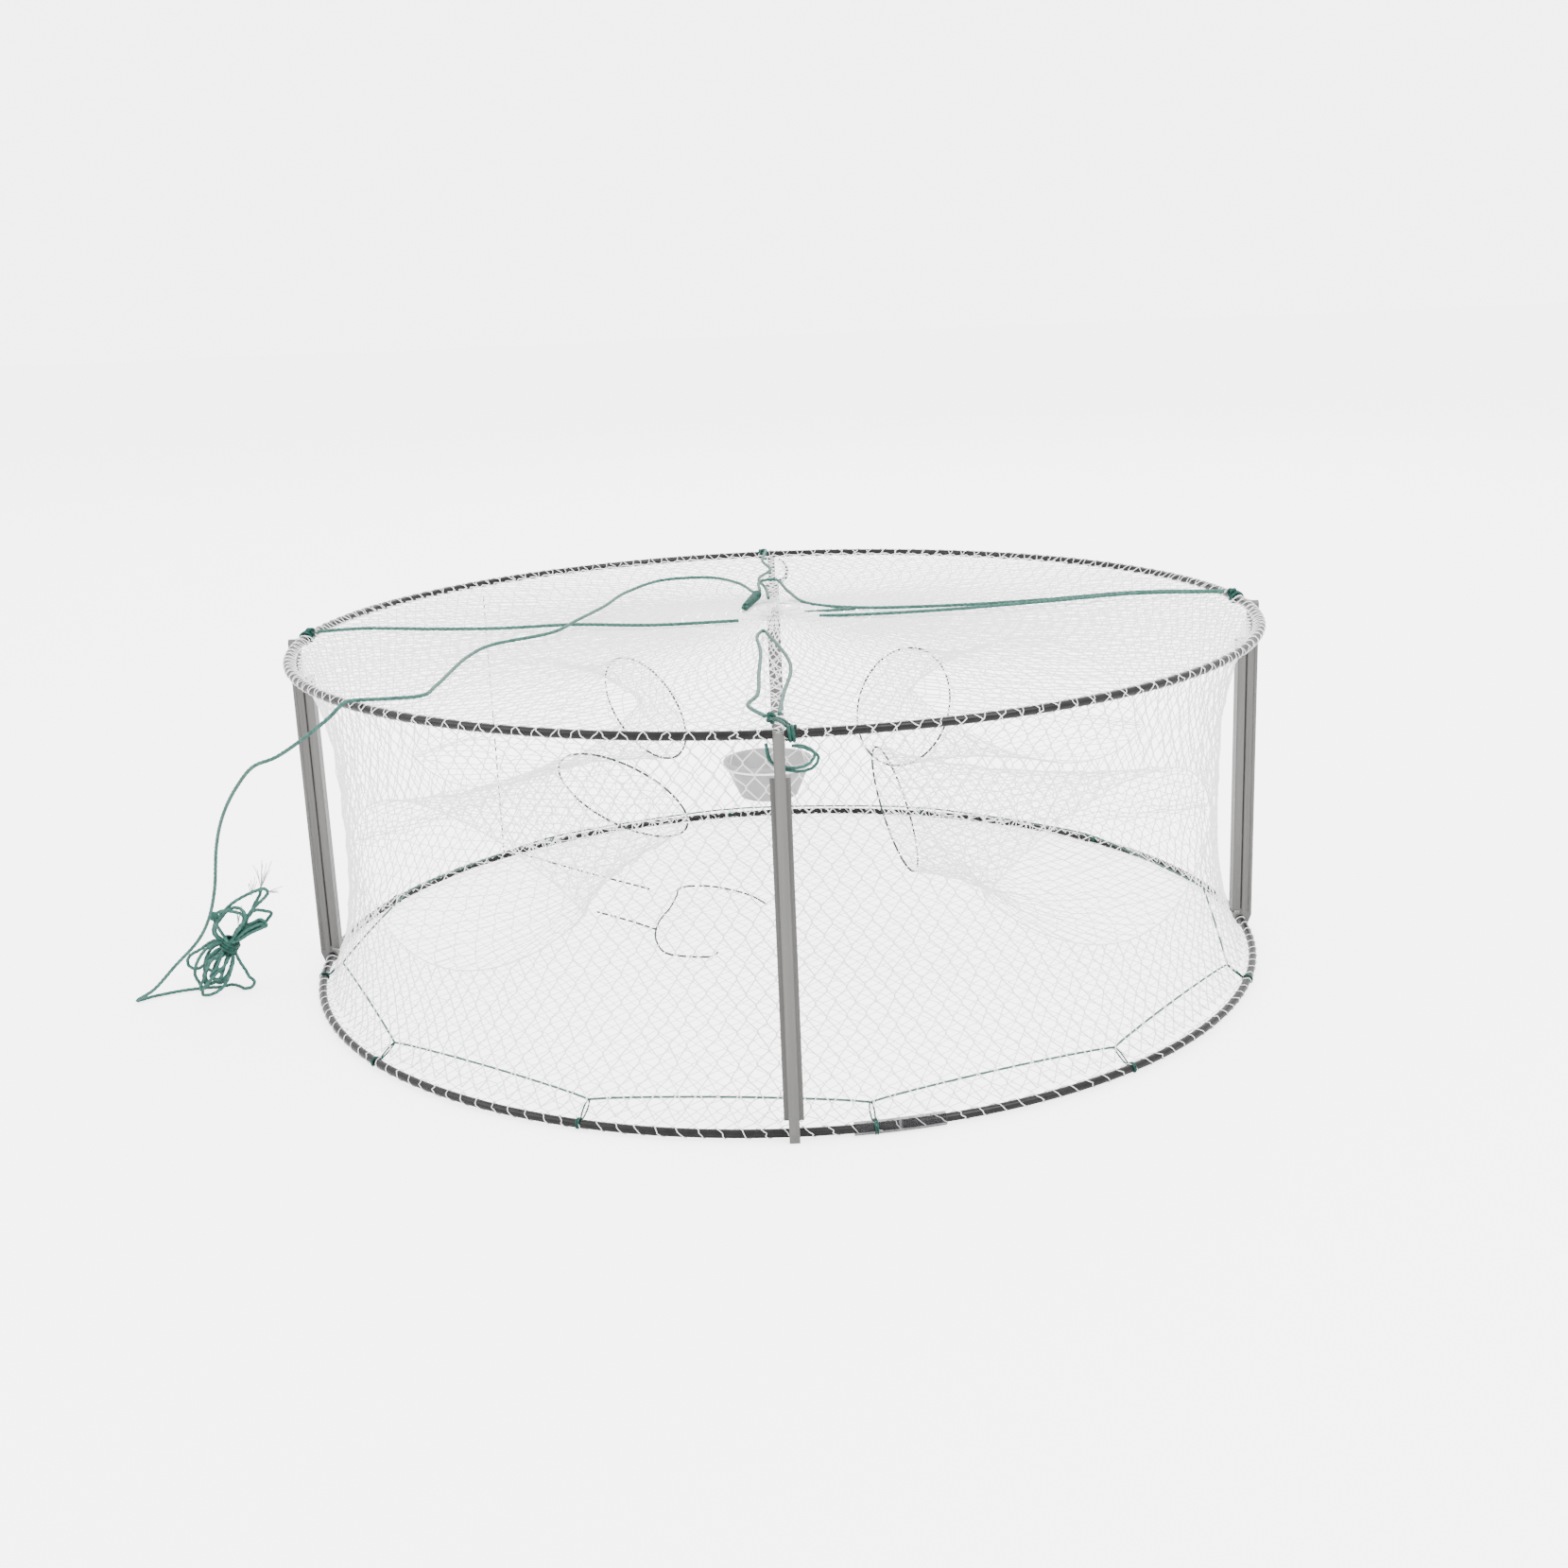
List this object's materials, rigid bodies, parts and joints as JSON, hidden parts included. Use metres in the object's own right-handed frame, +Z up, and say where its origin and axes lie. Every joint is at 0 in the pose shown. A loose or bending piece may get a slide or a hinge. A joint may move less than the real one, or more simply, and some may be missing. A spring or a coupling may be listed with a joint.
{
  "type": "folding crab trap",
  "caption": "Low round folding trap: rod hoops held apart by clip-in bars, netted walls with funnel entrances, hanging bait cup and pull line.",
  "frame": {"origin": "on the ground, on the axis of the two hoops", "axes": "+Z up along the hoops' axis, -Y towards the front bar beside the sleeve, +X to the right"},
  "size_m": [0.3863, 0.3306, 0.1189],
  "materials": {
    "rod": "glossy black coated steel rod",
    "clear_sleeve": "clear greyish soft tube",
    "bar_plastic": "mid grey extruded plastic, slightly glossy",
    "net": "white knotted fine twine netting",
    "dark_thread": "thin dark grey-green sewing twine",
    "green_twine": "teal green twisted twine",
    "cup_plastic": "cloudy light grey moulded plastic"
  },
  "bodies": {
    "bottom_frame": {"bottom_hoop": "rod", "hoop_sleeve": "clear_sleeve", "floor_net": "net", "floor_seam": "dark_thread", "floor_loop": "dark_thread", "floor_lacing": "green_twine", "lacing_ties": "green_twine", "side_net": "net", "side_seam": "dark_thread", "funnel_back_right": "net", "funnel_back_left": "net", "funnel_front_left": "net", "funnel_front_right": "net", "mouth_back_right": "dark_thread", "mouth_back_left": "dark_thread", "mouth_front_left": "dark_thread", "mouth_front_right": "dark_thread", "pull_line_drop": "green_twine", "pull_line_hank": "green_twine", "hank_knot": "green_twine"},
    "top_frame": {"top_hoop": "rod", "top_net": "net", "top_gather": "net", "centre_knot": "green_twine", "bridle_left": "green_twine", "bridle_right": "green_twine", "bridle_right_tail": "green_twine", "bridle_back": "green_twine", "rim_knot_left": "green_twine", "rim_knot_right": "green_twine", "rim_knot_front": "green_twine", "rim_knot_back": "green_twine", "front_loop": "green_twine", "pull_line_top": "green_twine", "cup_hanger": "net"},
    "cup": {"bait_cup": "cup_plastic", "cup_tie": "net"},
    "bar_right": {"strut_right": "bar_plastic"},
    "bar_back": {"strut_back": "bar_plastic"},
    "bar_left": {"strut_left": "bar_plastic"},
    "bar_front": {"strut_front": "bar_plastic"}
  },
  "joints": [
    {"name": "fold", "type": "slide", "parent": "bottom_frame", "child": "top_frame", "axis": [0, 0, 1], "range_m": [-0.095, 0], "deforming": ["side_net", "side_seam", "funnel_back_right", "funnel_back_left", "funnel_front_left", "funnel_front_right", "mouth_back_right", "mouth_back_left", "mouth_front_left", "mouth_front_right", "pull_line_drop", "cup_hanger"]},
    {"name": "cup_drop", "type": "slide", "parent": "bottom_frame", "child": "cup", "axis": [0, 0, 1], "range_m": [-0.051, 0]},
    {"name": "bar_right_swing", "type": "hinge", "parent": "bottom_frame", "child": "bar_right", "pos_m": [0.16125, 0, 0.002], "axis": [0, 1, 0], "range_deg": [0, 75.5]},
    {"name": "bar_back_swing", "type": "hinge", "parent": "bottom_frame", "child": "bar_back", "pos_m": [0, 0.16125, 0.002], "axis": [-1, 0, 0], "range_deg": [0, 75.5]},
    {"name": "bar_left_swing", "type": "hinge", "parent": "bottom_frame", "child": "bar_left", "pos_m": [-0.16125, 0, 0.002], "axis": [0, -1, 0], "range_deg": [0, 75.5]},
    {"name": "bar_front_swing", "type": "hinge", "parent": "bottom_frame", "child": "bar_front", "pos_m": [0, -0.16125, 0.002], "axis": [1, 0, 0], "range_deg": [0, 75.5]}
  ],
  "couplings": [
    {"joint": "cup_drop", "follows": "fold", "ratio": 0.536},
    {"joint": "bar_right_swing", "follows": "fold", "rad_per_m": -13.779},
    {"joint": "bar_back_swing", "follows": "fold", "rad_per_m": -13.779},
    {"joint": "bar_left_swing", "follows": "fold", "rad_per_m": -13.779},
    {"joint": "bar_front_swing", "follows": "fold", "rad_per_m": -13.779}
  ]
}
